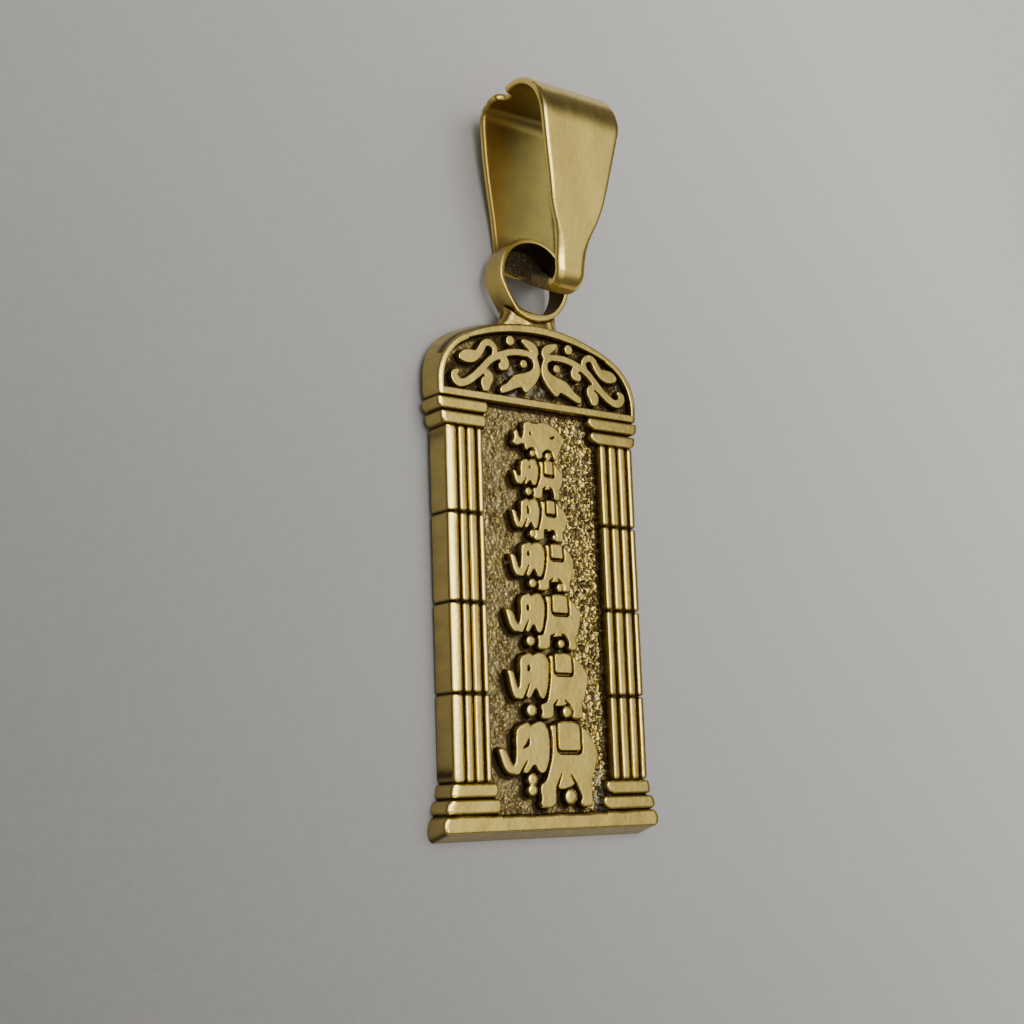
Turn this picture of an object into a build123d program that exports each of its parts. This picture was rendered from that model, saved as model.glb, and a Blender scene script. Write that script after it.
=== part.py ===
from build123d import *
import math
import os

os.makedirs("parts", exist_ok=True)

# Driving dimensions (mm)
# The plaque lies on its back. In its own frame x runs across it, y up it from the front lower edge,
# and z out of its polished front, which is z = 0.
plinth_width = 11.8
thickness = 1.34
draft = 0.36            # the back is this much longer than the front at the foot and at the crown
relief = 0.5            # how far the ground of the panel lies below the front
arch_relief = 0.4
column_height = 18.75   # underside of the bar that carries the arch
arch_rise = 3.92        # from there to the crown of the arch
ring_radius = 2.0
ring_band = 0.27
ring_x = -0.12          # the ring was soldered on a little off the middle
ring_inset = 0.04       # how far the ring's two edges stay inside the plaque's front and back
bail_sheet = 0.34
bail_lap = 0.17         # how much thicker the foot is, where the strip's ends lie over each other
bail_rise = 8.61        # from the ring's centre to the top of the fold
bail_foot_half = 0.72
bail_heel_half = 1.36  # where the rear leaf turns in under the ring
bail_head_half = 2.22
clearance = 0.06        # between the bail and the ring
line_width = 0.1        # the cut lines between mouldings, flutes and saddle cloths

half = plinth_width / 2
arch_crown = column_height + arch_rise
ring_y = arch_crown + 0.6 * draft + ring_radius
wide = half / 5.9               # the ornament was drawn for this half width and column height
tall = column_height / 18.75

# Mouldings from the foot up: name, half width, lower edge, upper edge as shares of the column height,
# inner end as a share of the half width, cut corner at the lower outer edge
mouldings = [
    ("plinth", half, 0.0, 0.040, 0.0, 0.0),
    ("foot moulding", 0.965 * half, 0.040, 0.0755, 0.46, 0.0),
    ("upper moulding", 0.924 * half, 0.0755, 0.111, 0.505, 0.0),
    ("shaft", 0.900 * half, 0.111, 0.933, 0.566, 0.0),
    ("lower capital", 0.943 * half, 0.933, 0.9655, 0.52, 0.22),
    ("upper capital", 0.966 * half, 0.9655, 0.9985, 0.49, 0.17),
    ("arch bar", 0.957 * half, 0.9985, 1.0195, 0.0, 0.0),
]
shaft_outer = mouldings[3][1]
shaft_inner = 0.566 * half
flutes = [0.27, 0.49, 0.745]          # shares of the shaft's width, from its inner side
drum_joints = [0.310, 0.518, 0.726]   # shares of the column height


def three_centred(half_width, crown, springing, haunch):
    """Half width, crown, springing, haunch radius and the crown radius that runs smoothly into it."""
    low_x = half_width - haunch
    fall = crown - springing
    top = (low_x**2 + fall**2 - haunch**2) / (2 * (fall - haunch))
    return half_width, crown, springing, haunch, top


# The arch, and the edge of its sunk ground
arch_half = 0.957 * half
arch_outer = three_centred(
    arch_half, arch_crown, arch_crown - 0.8265 * arch_rise, 0.63 * arch_rise
)
arch_inner = three_centred(
    0.9485 * arch_half, arch_crown - 0.105 * arch_rise, arch_crown - 0.834 * arch_rise, 0.581 * arch_rise
)


def arch_arcs(half_width, crown, springing, haunch, top):
    """The two arcs of one side of a three-centred arch, as centre, radius and the point where they meet."""
    low_x = half_width - haunch
    top_y = crown - top
    reach = math.hypot(low_x, springing - top_y)
    meet = (low_x + haunch * low_x / reach, springing + haunch * (springing - top_y) / reach)
    turn = math.atan2(meet[1] - springing, meet[0] - low_x) / 2
    middle = (low_x + haunch * math.cos(turn), springing + haunch * math.sin(turn))
    return middle, meet


def arch_line(arch, foot, lift=0.0):
    """Draws the arch over its feet, closed along the foot line; lift raises the crown."""
    half_width, crown, springing, haunch, top = arch
    middle, meet = arch_arcs(half_width, crown + lift, springing + lift, haunch, top)
    Line((-half_width, foot), (half_width, foot))
    Line((half_width, foot), (half_width, springing + lift))
    ThreePointArc((half_width, springing + lift), middle, meet)
    ThreePointArc(meet, (0, crown + lift), (-meet[0], meet[1]))
    ThreePointArc((-meet[0], meet[1]), (-middle[0], middle[1]), (-half_width, springing + lift))
    Line((-half_width, springing + lift), (-half_width, foot))


def wall_points(grow):
    """The right-hand outline of the stacked mouldings from the foot up to the arch bar."""
    points = [(half - 0.08, -grow), (half, 0.1 - grow)]
    for name, out, low, high, inner, cut in mouldings:
        low_y = low * column_height
        high_y = high * column_height
        if cut:
            points.append((out - cut, low_y + 0.02))
            points.append((out, low_y + 0.1))
        elif low:
            points.append((out, low_y))
        points.append((out, high_y))
    return points


# Lying pose: the plaque rests on the lower edge of its back, and the bail, which passes under the ring,
# lifts its head
heel_radius = 0.55
hole_foot = ring_y - ring_radius + ring_band
bail_top = ring_y + bail_rise
ring_top = ring_y + ring_radius
foot_corner = (hole_foot + 0.26, 2.58)
shin_corner = (hole_foot + 1.84, 2.70)
knee_corner = (hole_foot + 4.84, 3.34)
brow_corner = (bail_top + 0.21, 4.17)
rear_corner = (bail_top - 0.12, 0.18 - thickness)
brow_radius = 2.5
# The rear leaf slopes down from the fold and clears the back edge of the ring's top by the clearance
heel_y = hole_foot + 2.46
drop = rear_corner[1] + thickness + clearance + 1.01 * bail_sheet
heel_z = rear_corner[1] - drop * (rear_corner[0] - heel_y) / (rear_corner[0] - ring_top)
heel_corner = (heel_y, heel_z)


def corner_centre(before, corner, after, radius):
    """Centre of the arc that rounds a corner of the bail's outline."""
    a = (Vector(*before) - Vector(*corner)).normalized()
    b = (Vector(*after) - Vector(*corner)).normalized()
    bisector = (a + b).normalized()
    half_angle = math.radians(a.get_angle(b)) / 2
    centre = Vector(*corner) + bisector * (radius / math.sin(half_angle))
    return centre.X, centre.Y


heel = corner_centre(foot_corner, heel_corner, rear_corner, heel_radius)
brow = corner_centre(knee_corner, brow_corner, rear_corner, brow_radius)
reach = math.hypot(heel[0] + draft, heel[1] + thickness)
tilt = math.asin(heel_radius / reach) - math.atan2(heel[1] + thickness, heel[0] + draft)
front_height = thickness * math.cos(tilt) + draft * math.sin(tilt)
lowest_y = thickness * math.sin(tilt) - draft * math.cos(tilt)
highest_y = brow[0] * math.cos(tilt) - brow[1] * math.sin(tilt) + brow_radius
origin_y = -(lowest_y + highest_y) / 2
lying = Plane(
    origin=(0, origin_y, front_height),
    x_dir=(1, 0, 0),
    z_dir=(0, -math.sin(tilt), math.cos(tilt)),
)
side_on = Plane(origin=lying.origin, x_dir=lying.y_dir, z_dir=lying.x_dir)
over_ring = Plane(
    origin=lying.from_local_coords((ring_x, 0, 0)), x_dir=lying.x_dir, z_dir=lying.z_dir
)

# The seven elephants, from the lowest and largest up. Each is the same animal stretched between stations:
# across at trunk, face, ear, front and rear of the saddle cloth, rump; up at sole, belly, chin,
# foot of the cloth, back
elephants = [
    (-2.85, -2.10, -0.32, 0.17, 1.50, 2.43, 0.92, 1.75, 2.42, 3.33, 4.68),
    (-2.38, -1.76, -0.20, 0.15, 1.18, 2.02, 4.74, 5.33, 5.62, 6.74, 7.68),
    (-2.30, -1.62, -0.32, 0.14, 1.08, 1.74, 7.78, 8.38, 8.52, 9.40, 10.30),
    (-1.98, -1.48, -0.20, 0.17, 0.90, 1.48, 10.40, 10.82, 11.00, 11.86, 12.58),
    (-1.88, -1.42, -0.40, 0.00, 0.56, 1.22, 12.65, 13.12, 13.16, 13.86, 14.55),
    (-1.74, -1.36, -0.38, -0.02, 0.52, 1.06, 14.55, 15.00, 15.14, 15.66, 16.38),
    (-1.68, -1.14, -0.30, 0.05, 0.50, 1.16, 16.40, 16.82, 16.92, 17.45, 18.12),
]

# Head and trunk, and body and legs, of the largest elephant: across, up
head = [
    (-2.93, 3.40), (-2.80, 3.50), (-2.66, 3.40), (-2.48, 2.98), (-2.36, 2.88), (-2.22, 2.94),
    (-2.12, 3.30), (-2.10, 4.00), (-2.02, 4.30), (-1.70, 4.55), (-1.40, 4.64), (-1.24, 4.52),
    (-1.05, 4.60), (-0.70, 4.68), (-0.50, 4.56), (-0.36, 4.10), (-0.35, 3.40), (-0.45, 2.78),
    (-0.62, 2.46), (-0.80, 2.44), (-1.04, 2.74), (-1.18, 2.76), (-1.48, 2.46), (-1.70, 2.44),
    (-2.05, 2.38), (-2.40, 2.52), (-2.68, 2.86), (-2.84, 3.18),
]
body = [
    (-0.20, 4.42), (-0.08, 4.54), (0.35, 4.66), (0.80, 4.70), (1.20, 4.66), (1.45, 4.50),
    (1.74, 4.36), (2.15, 3.88), (2.42, 3.35), (2.42, 3.10), (2.18, 2.45), (2.03, 1.90),
    (2.04, 1.04), (1.90, 0.92), (1.50, 0.95), (1.36, 1.10), (1.44, 1.36), (1.30, 1.75),
    (1.10, 1.98), (0.80, 1.80), (0.40, 1.72), (0.10, 1.84), (0.00, 1.50), (-0.04, 1.08),
    (-0.25, 0.93), (-0.72, 0.94), (-0.86, 1.14), (-0.80, 1.40), (-0.84, 1.75), (-0.74, 2.00),
    (-0.48, 2.20), (-0.27, 2.75), (-0.14, 3.30), (-0.12, 4.00),
]
eye = [(-1.36, 3.96), (-1.34, 3.70), (-1.74, 3.52)]
far_feet = [(0.86, 1.40, 0.35), (-1.25, 2.18, 0.27), (-1.27, 1.74, 0.26)]

# Scrolls of the arch, right half: across, up, half width
scrolls = [
    [(0.90, 21.84, 0.13), (0.66, 21.72, 0.20), (0.42, 21.58, 0.24), (0.28, 21.42, 0.20),
     (0.28, 21.24, 0.14)],
    [(0.28, 21.22, 0.12), (0.80, 21.27, 0.16), (1.30, 21.28, 0.17), (1.80, 21.20, 0.17),
     (2.20, 21.05, 0.19), (2.55, 20.93, 0.19), (2.85, 20.72, 0.18), (3.12, 20.47, 0.18),
     (3.32, 20.24, 0.21), (3.60, 20.00, 0.19), (3.90, 19.77, 0.19), (4.22, 19.59, 0.19),
     (4.52, 19.56, 0.21), (4.74, 19.72, 0.21), (4.78, 19.94, 0.17), (4.62, 20.06, 0.12)],
    [(2.60, 21.00, 0.15), (2.55, 21.28, 0.15), (2.70, 21.48, 0.17), (2.95, 21.55, 0.18),
     (3.18, 21.42, 0.18), (3.33, 21.16, 0.19), (3.55, 20.92, 0.22), (3.85, 20.82, 0.31),
     (4.12, 20.80, 0.30), (4.36, 20.76, 0.18)],
    [(2.34, 20.98, 0.12), (2.05, 20.86, 0.20), (2.00, 20.62, 0.23), (2.16, 20.54, 0.22)],
    [(3.12, 20.20, 0.15), (2.92, 20.04, 0.21), (2.90, 19.86, 0.22), (3.08, 19.70, 0.29),
     (3.10, 19.52, 0.25)],
]
dots = [(1.68, 21.78, 0.24), (0.95, 20.77, 0.20)]
leaf = [
    (0.14, 21.05), (0.05, 20.78), (0.03, 20.45), (0.12, 20.18), (0.35, 19.85), (0.60, 19.60),
    (0.82, 19.43), (0.98, 19.46), (1.08, 19.60), (1.20, 19.62), (1.50, 19.53), (1.85, 19.38),
    (2.15, 19.28), (2.30, 19.33), (2.33, 19.50), (2.20, 19.65), (1.95, 19.78), (1.75, 19.98),
    (1.50, 20.20), (1.20, 20.30), (0.90, 20.38), (0.60, 20.50), (0.45, 20.65), (0.42, 20.85),
    (0.50, 21.00), (0.70, 21.12), (0.42, 21.30), (0.22, 21.22),
]


def between(value, knots, targets):
    """Carries a value from one row of stations to another, straight between each two."""
    last = len(knots) - 2
    place = max(0, min(last, sum(1 for knot in knots[1:-1] if value >= knot)))
    share = (value - knots[place]) / (knots[place + 1] - knots[place])
    return targets[place] + share * (targets[place + 1] - targets[place])


def on_elephant(points, stations):
    """Carries points of the largest elephant to another one, and with the panel's width and height."""
    model = elephants[0]
    return [
        (
            wide * between(x, model[:6], stations[:6]),
            tall * between(y, model[6:], stations[6:]),
        )
        for x, y in points
    ]



def on_arch(points):
    """Carries points of the scrolls to the arch, and with its width and rise."""
    return [(wide * x, column_height + (y - 18.75) * arch_rise / 3.92, *rest) for x, y, *rest in points]


# The plaque, its wall drafted out towards the back
with BuildPart() as plaque:
    for depth, grow in ((-thickness, draft), (0, 0)):
        with BuildSketch(lying.offset(depth)):
            with BuildLine():
                wall = wall_points(grow)
                top = (arch_outer[0], arch_outer[2] + grow)
                lift = grow
                middle, meet = arch_arcs(
                    arch_outer[0], arch_outer[1] + lift, arch_outer[2] + lift, *arch_outer[3:]
                )
                Polyline(*wall, top)
                ThreePointArc(top, middle, meet)
                ThreePointArc(meet, (0, arch_outer[1] + lift), (-meet[0], meet[1]))
                ThreePointArc((-meet[0], meet[1]), (-middle[0], middle[1]), (-top[0], top[1]))
                Polyline((-top[0], top[1]), *[(-x, y) for x, y in reversed(wall)])
                Line((-wall[0][0], wall[0][1]), wall[0])
            make_face()
    loft(ruled=True)

    # The sunk ground of the panel, stepped round the ends of the mouldings
    with BuildSketch(lying):
        for name, out, low, high, inner, cut in mouldings[1:6]:
            with BuildLine():
                Polyline(
                    (-inner * half, low * column_height),
                    (inner * half, low * column_height),
                    (inner * half, high * column_height),
                    (-inner * half, high * column_height),
                    close=True,
                )
            make_face()
    extrude(amount=-relief, mode=Mode.SUBTRACT)

    # The sunk ground of the arch
    with BuildSketch(lying):
        with BuildLine():
            arch_line(arch_inner, 1.0195 * column_height)
        make_face()
    extrude(amount=-arch_relief, mode=Mode.SUBTRACT)

    # The elephants stand up from the ground to the level of the front
    with BuildSketch(lying.offset(-relief - 0.1)):
        for stations in elephants:
            for outline in (head, body):
                with BuildLine():
                    Spline(*on_elephant(outline, stations), periodic=True)
                make_face()
            scale_x = (stations[5] - stations[0]) / (elephants[0][5] - elephants[0][0])
            for x, y, radius in far_feet:
                with Locations(on_elephant([(x, y)], stations)[0]):
                    Circle(radius * scale_x * wide)
    extrude(amount=relief + 0.1)

    # Cut lines: eyes and the edges of the saddle cloths
    with BuildSketch(lying):
        for stations in elephants:
            with BuildLine():
                Polyline(*on_elephant(eye, stations), close=True)
            make_face()
        for stations in elephants[:6]:
            left, right, foot, back = stations[3], stations[4], stations[9], stations[10]
            for x in (left, right):
                with Locations((wide * x, tall * (foot + back) / 2)):
                    Rectangle(line_width, tall * (back - foot) + 0.1)
            with Locations((wide * (left + right) / 2, tall * foot)):
                Rectangle(wide * (right - left) + line_width, line_width)
    extrude(amount=-relief * 0.6, mode=Mode.SUBTRACT)

    # The scrolls of the arch
    with BuildSketch(lying.offset(-arch_relief - 0.1)):
        for rows in scrolls:
            stroke = on_arch(rows)
            for x, y, radius in stroke:
                with Locations((x, y)):
                    Circle(radius)
            for (x0, y0, r0), (x1, y1, r1) in zip(stroke[:-1], stroke[1:]):
                length = math.hypot(x1 - x0, y1 - y0)
                across = ((y0 - y1) / length, (x1 - x0) / length)
                with BuildLine():
                    Polyline(
                        (x0 + r0 * across[0], y0 + r0 * across[1]),
                        (x1 + r1 * across[0], y1 + r1 * across[1]),
                        (x1 - r1 * across[0], y1 - r1 * across[1]),
                        (x0 - r0 * across[0], y0 - r0 * across[1]),
                        close=True,
                    )
                make_face()
        with BuildLine():
            Spline(*on_arch(leaf), periodic=True)
        make_face()
        for x, y, radius in on_arch(dots):
            with Locations((x, y)):
                Circle(radius)
        mirror(about=Plane.YZ)
    extrude(amount=arch_relief + 0.1)

    # Flutes down the columns
    shaft_low = 0.111 * column_height
    shaft_high = 0.933 * column_height
    with BuildSketch(lying):
        for side in (-1, 1):
            for share in flutes:
                x = side * (shaft_inner + share * (shaft_outer - shaft_inner))
                with Locations((x, (shaft_low + shaft_high) / 2)):
                    Rectangle(1.5 * line_width, shaft_high - shaft_low)
    extrude(amount=-0.22, mode=Mode.SUBTRACT)

    # Joints between the drums of the columns and between the mouldings, cut across the front
    with BuildSketch(lying):
        for side in (-1, 1):
            for share in drum_joints:
                middle_x = side * (shaft_inner + shaft_outer) / 2
                with Locations((middle_x, share * column_height)):
                    Rectangle(shaft_outer - shaft_inner + 0.02, line_width)
            for name, out, low, high, inner, cut in mouldings[1:6]:
                with Locations((side * (inner * half + out) / 2, high * column_height)):
                    Rectangle(out - inner * half + 0.4, 0.9 * line_width)
            with Locations((side * 0.73 * half, mouldings[0][3] * column_height)):
                Rectangle(0.6 * half, 0.9 * line_width)
    extrude(amount=-0.25, mode=Mode.SUBTRACT)

    # The ring, soldered upright to the crown
    with BuildSketch(lying.offset(ring_inset - thickness)):
        with Locations((ring_x, ring_y)):
            Circle(ring_radius)
        with BuildLine():
            Polyline(
                (-1.12, arch_crown - 0.2),
                (1.0, arch_crown - 0.2),
                (0.9, arch_crown + 0.42),
                (-1.12, arch_crown + 0.42),
                close=True,
            )
        make_face()
    extrude(amount=thickness - 2 * ring_inset)
    with BuildSketch(lying.offset(-thickness - 0.1)):
        with Locations((ring_x, ring_y)):
            Circle(ring_radius - ring_band)
    extrude(amount=thickness + 0.2, mode=Mode.SUBTRACT)

# The bail: one strip folded round into a loop, drawn from the side and cut to its taper
with BuildPart() as bail:
    corners = [foot_corner, shin_corner, knee_corner, brow_corner, rear_corner, heel_corner]
    rounds = [0.62, 3.0, 12.0, brow_radius, 0.6, heel_radius]
    with BuildSketch(side_on.offset(-bail_head_half - 1)):
        with BuildLine():
            FilletPolyline(*corners, radius=rounds, close=True)
        make_face()
        offset(amount=-bail_sheet, kind=Kind.INTERSECTION, mode=Mode.SUBTRACT)
    extrude(amount=2 * bail_head_half + 2)

    # The second layer of the foot, on its inner side
    along = (Vector(*heel_corner) - Vector(*foot_corner)).normalized()
    inward = Vector(-along.Y, along.X)
    with BuildSketch(side_on.offset(-bail_head_half - 1)):
        with BuildLine():
            outer = bail_sheet - 0.05
            inner = bail_sheet + bail_lap
            Polyline(
                Vector(*foot_corner) + along * 0.95 + inward * outer,
                Vector(*foot_corner) + along * 3.9 + inward * outer,
                Vector(*foot_corner) + along * 3.8 + inward * inner,
                Vector(*foot_corner) + along * 1.1 + inward * inner,
                close=True,
            )
        make_face()
    extrude(amount=2 * bail_head_half + 2)

    # The taper: the rear leaf narrows from the fold to the heel
    low = foot_corner[0] - 1
    shoulder_y = bail_top - 0.8
    with BuildSketch(over_ring.offset(-4)):
        with BuildLine():
            Polyline(
                (0, low),
                (bail_heel_half, low),
                (bail_heel_half, ring_y + 0.8),
                (0.4 * bail_heel_half + 0.53 * bail_head_half, ring_y + 2.3),
                (bail_head_half, shoulder_y),
                (bail_head_half, bail_top + 1),
                (0, bail_top + 1),
                close=True,
            )
        make_face()
        mirror(about=Plane.YZ)
    extrude(amount=12, mode=Mode.INTERSECT)

    # The front leaf narrows to a slim neck above the foot, by straight sides and a hollow curve
    neck_y = hole_foot + 2.36
    with BuildSketch(over_ring.offset(0.5)):
        with BuildLine():
            flare = (0.42 * bail_foot_half + 0.28 * bail_head_half, neck_y + 1.0)
            spread = (0.34 * bail_foot_half + 0.48 * bail_head_half, neck_y + 2.0)
            Line((bail_foot_half, low), (bail_foot_half, neck_y))
            ThreePointArc((bail_foot_half, neck_y), flare, spread)
            Polyline(
                spread,
                (bail_head_half, shoulder_y),
                (bail_head_half + 1, shoulder_y),
                (bail_head_half + 1, low),
                (bail_foot_half, low),
            )
        make_face()
        mirror(about=Plane.YZ)
    extrude(amount=8, mode=Mode.SUBTRACT)

    # The foot widens from the neck to the heel as it passes back through the ring
    foot_plan = Plane(
        origin=over_ring.from_local_coords((0, low, 0)), x_dir=lying.x_dir, z_dir=lying.y_dir
    )
    with BuildSketch(foot_plan):
        with BuildLine():
            Polyline(
                (bail_foot_half, -0.55),
                (bail_foot_half, -0.5),
                (bail_heel_half, thickness),
                (bail_heel_half + 1, thickness),
                (bail_heel_half + 1, -0.55),
                close=True,
            )
        make_face()
        mirror(about=Plane.YZ)
    extrude(amount=ring_y + 1.4 - low, mode=Mode.SUBTRACT)

plaque.part.label = "plaque"
bail.part.label = "bail"
export_step(plaque.part, "parts/plaque.step")
export_step(bail.part, "parts/bail.step")
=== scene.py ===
import math

import bpy
import numpy as np
from mathutils import Matrix, Vector


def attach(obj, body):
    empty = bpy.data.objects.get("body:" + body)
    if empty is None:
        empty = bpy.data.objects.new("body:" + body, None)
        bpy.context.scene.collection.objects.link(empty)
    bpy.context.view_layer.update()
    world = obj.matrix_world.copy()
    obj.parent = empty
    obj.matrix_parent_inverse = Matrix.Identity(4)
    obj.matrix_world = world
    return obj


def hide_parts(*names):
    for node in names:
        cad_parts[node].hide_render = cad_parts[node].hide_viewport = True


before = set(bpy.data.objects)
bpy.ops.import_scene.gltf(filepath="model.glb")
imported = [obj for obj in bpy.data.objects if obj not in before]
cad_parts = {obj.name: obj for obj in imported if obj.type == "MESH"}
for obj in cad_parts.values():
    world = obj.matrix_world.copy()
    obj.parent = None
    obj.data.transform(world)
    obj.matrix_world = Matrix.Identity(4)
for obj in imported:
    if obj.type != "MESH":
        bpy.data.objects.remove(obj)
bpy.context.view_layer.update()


# The plaque's worked front. The real one is cast in yellow gold from a carved pattern: a low portico whose
# fluted columns carry an arch, with seven elephants one above the other on a sunk, grained ground. It is
# worked out here as one field of heights in millimetres, and the pieces of the plaque are cut from it.
THICK = 1.34  # front to back
DRAFT = 0.36  # the back is this much longer at the foot and at the crown
TILT = math.radians(1.05896)  # it lies tipped by this, its head held up by the bail
FRONT_HEIGHT = 1.346424  # of the front's lower edge above the floor
FOOT_PLACE = -16.578499  # of the same edge along +Y
CELL = 1 / 64  # of the field
PLINTH_TOP = 0.765  # where the plinth's piece ends and the columns and the panel begin
MID_BAR = 18.9  # up to here the panel's shapes count, from here on the arch's
ARCH_FLOOR, PANEL_FLOOR = -0.38, -0.44
BURIED = 0.72  # walls run down to this, below the grounds, which hide their feet
OUTSIDE = -9.0  # a distance outside every shape
across = np.arange(-6.1, 6.1 + CELL, CELL)
along = np.arange(-0.5, 23.1, CELL)
X, Y = np.meshgrid(across, along)


def held(value):
    """The value held between 0 and 1."""
    return np.clip(value, 0, 1)


def spot(x, y, wide, tall):
    """A bell in two directions that is 1 where x and y are 0 and spreads by wide and tall."""
    return np.exp(-(x / wide)**2 - (y / tall)**2)


def lay(x, y, z):
    """From the plaque's own millimetres (x across, y up it, z out of its front) to metres as it lies: a turn
    about x by the tilt, then a shift to the place of the front's lower edge."""
    c, s = math.cos(TILT), math.sin(TILT)
    return np.stack([x, FOOT_PLACE + y * c - z * s, FRONT_HEIGHT + y * s + z * c], -1) / 1000


def bent(a, b, c, d, steps):
    """Points from every b on its way to c, along the cubic whose slope at either end is half the way between
    that end's neighbours."""
    u = (np.arange(steps) / steps)[None, :, None]
    q = 2 * b + (c - a) * u + (2 * a - 5 * b + 4 * c - d) * u**2 + (3 * b - a - 3 * c + d) * u**3
    return (q / 2).reshape(-1, a.shape[-1])


def curve_round(points):
    """A closed outline through the points, each side bent as that cubic."""
    p = np.asarray(points, float)
    return bent(*(np.roll(p, k, 0)[:, None] for k in (1, 0, -1, -2)), 4)


def curve_along(rows):
    """An open line through the rows, bent in the same way, with its ends carried straight on."""
    p = np.asarray(rows, float)
    p = np.vstack([2 * p[0] - p[1], p, 2 * p[-1] - p[-2]])
    return np.vstack([bent(*(p[k:len(p) - 3 + k][:, None] for k in range(4)), 5), p[-2:-1]])


def inside(x, y, outline):
    """Signed distance in mm to a closed outline, positive inside: the least distance to any side, and the
    sign from whether a level ray crosses an odd number of sides."""
    a = np.asarray(outline, float)
    b = np.roll(a, -1, 0)
    ab = b - a
    ab[np.abs(ab) < 1e-9] = 1e-9
    found = np.empty(x.size)
    for part in np.array_split(np.arange(x.size), max(1, x.size * len(a) // 2000000)):
        px = x.flat[part][:, None] - a[:, 0]
        py = y.flat[part][:, None] - a[:, 1]
        t = held((px * ab[:, 0] + py * ab[:, 1]) / (ab**2).sum(1))
        far = np.sqrt(((px - t * ab[:, 0])**2 + (py - t * ab[:, 1])**2).min(1))
        over = ((py < 0) != (py < ab[:, 1])) & (px < py * ab[:, 0] / ab[:, 1])
        found[part] = np.where(over.sum(1) % 2 == 1, far, -far)
    return found.reshape(x.shape)


def in_stroke(x, y, rows):
    """Signed distance in mm to a line of changing half width, positive inside: for each run, the half width
    at the nearest point less the distance to it, and the greatest of these."""
    p = np.asarray(rows, float)
    a, ab = p[:-1], np.diff(p, axis=0)
    length = np.maximum((ab[:, :2]**2).sum(1), 1e-9)
    found = np.empty(x.size)
    for part in np.array_split(np.arange(x.size), max(1, x.size * len(a) // 2000000)):
        px = x.flat[part][:, None] - a[:, 0]
        py = y.flat[part][:, None] - a[:, 1]
        t = held((px * ab[:, 0] + py * ab[:, 1]) / length)
        far = np.hypot(px - t * ab[:, 0], py - t * ab[:, 1])
        found[part] = (a[:, 2] + t * ab[:, 2] - far).max(1)
    return found.reshape(x.shape)


def in_box(x, y, x0, x1, y0, y1, corner):
    """Signed distance in mm to an upright box with rounded corners, positive inside."""
    dx = np.abs(x - (x0 + x1) / 2) - (x1 - x0) / 2 + corner
    dy = np.abs(y - (y0 + y1) / 2) - (y1 - y0) / 2 + corner
    return corner - np.hypot(np.maximum(dx, 0), np.maximum(dy, 0)) - np.minimum(np.maximum(dx, dy), 0)


def in_arch(x, y, half, crown, springing, haunch, top):
    """Signed distance in mm to a three-centred arch, positive inside: straight sides up to the springing, a
    haunch arc on each side, and a crown arc above the line through both centres."""
    x = np.abs(x)
    cx, cy = half - haunch, crown - top
    on_crown = (y - cy) * cx > (springing - cy) * x
    low = half - x
    side = haunch - np.hypot(x - cx, y - springing)
    high = top - np.hypot(x, y - cy)
    return np.where(on_crown, high, np.where(y < springing, low, np.where(x > cx, side, high)))


def brow(s, radius, foot, depth, drop):
    """Height over a raised shape at signed distance s inside its edge: level inside, a quarter oval as wide
    as the radius that falls by drop to the edge, then a wall that eases out over foot to the depth."""
    u = held(1 - s / radius)
    w = held(-s / foot)
    wall = -drop - (depth - drop) * (1 - (1 - w)**2.2)
    return np.where(s >= 0, -drop * (1 - np.sqrt(1 - u * u)), wall)


def softened(field, spread):
    """The field blurred by a bell curve of that spread in mm, worked out in its frequencies."""
    fy = np.fft.fftfreq(field.shape[0], CELL)[:, None]
    fx = np.fft.rfftfreq(field.shape[1], CELL)[None, :]
    bell = np.exp(-2 * (math.pi * spread)**2 * (fx * fx + fy * fy))
    return np.fft.irfft2(np.fft.rfft2(field) * bell, field.shape)


def grain(seed, spread):
    """Even random grain of that size in mm, scaled to a spread of 1."""
    noise = np.random.default_rng(seed).standard_normal(X.shape)
    noise = softened(noise, spread) - softened(noise, 2 * spread)
    return noise / noise.std()


# Half width of the outline up the plaque, with a nick at every joint between mouldings
edge_rows = np.array([
    (-0.5, 5.6), (0, 5.66), (0.05, 5.76), (0.13, 5.84), (0.28, 5.88), (0.45, 5.86), (0.6, 5.79),
    (0.7, 5.68), (0.77, 5.56), (0.83, 5.64), (0.96, 5.72), (1.2, 5.67), (1.36, 5.54), (1.43, 5.34),
    (1.5, 5.43), (1.62, 5.47), (1.9, 5.42), (2.03, 5.36), (2.09, 5.2), (2.18, 5.3), (2.3, 5.32), (5.72, 5.31),
    (5.82, 5.2), (5.92, 5.31), (9.61, 5.31), (9.71, 5.2), (9.81, 5.31), (13.52, 5.31), (13.62, 5.2),
    (13.72, 5.31), (17.32, 5.32), (17.4, 5.3), (17.46, 5.2), (17.54, 5.4), (17.7, 5.52), (17.98, 5.54),
    (18.04, 5.5), (18.1, 5.34), (18.18, 5.54), (18.32, 5.67), (18.6, 5.69), (18.67, 5.66), (18.73, 5.5),
    (18.8, 5.61), (19, 5.64), (23.2, 5.64),
])
# The arch's outline and the inner line of its rim: half width, crown, springing, haunch and crown radius
ARCH = (5.64, 22.67, 19.43, 2.47, 9.47)
ARCH_INNER = (5.33, 22.26, 19.38, 2.24, 10.73)
BAR_FOOT, BAR_TOP = 18.73, 19.12  # of the bar under the arch
SIDE_TOP = 19.0  # above it the outline is the arch's
edge_x = np.interp(Y, edge_rows[:, 0], edge_rows[:, 1])
out_side = np.where(Y < SIDE_TOP, edge_x - np.abs(X), in_arch(X, Y, *ARCH))
edge_in = np.minimum(out_side, Y)

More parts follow.
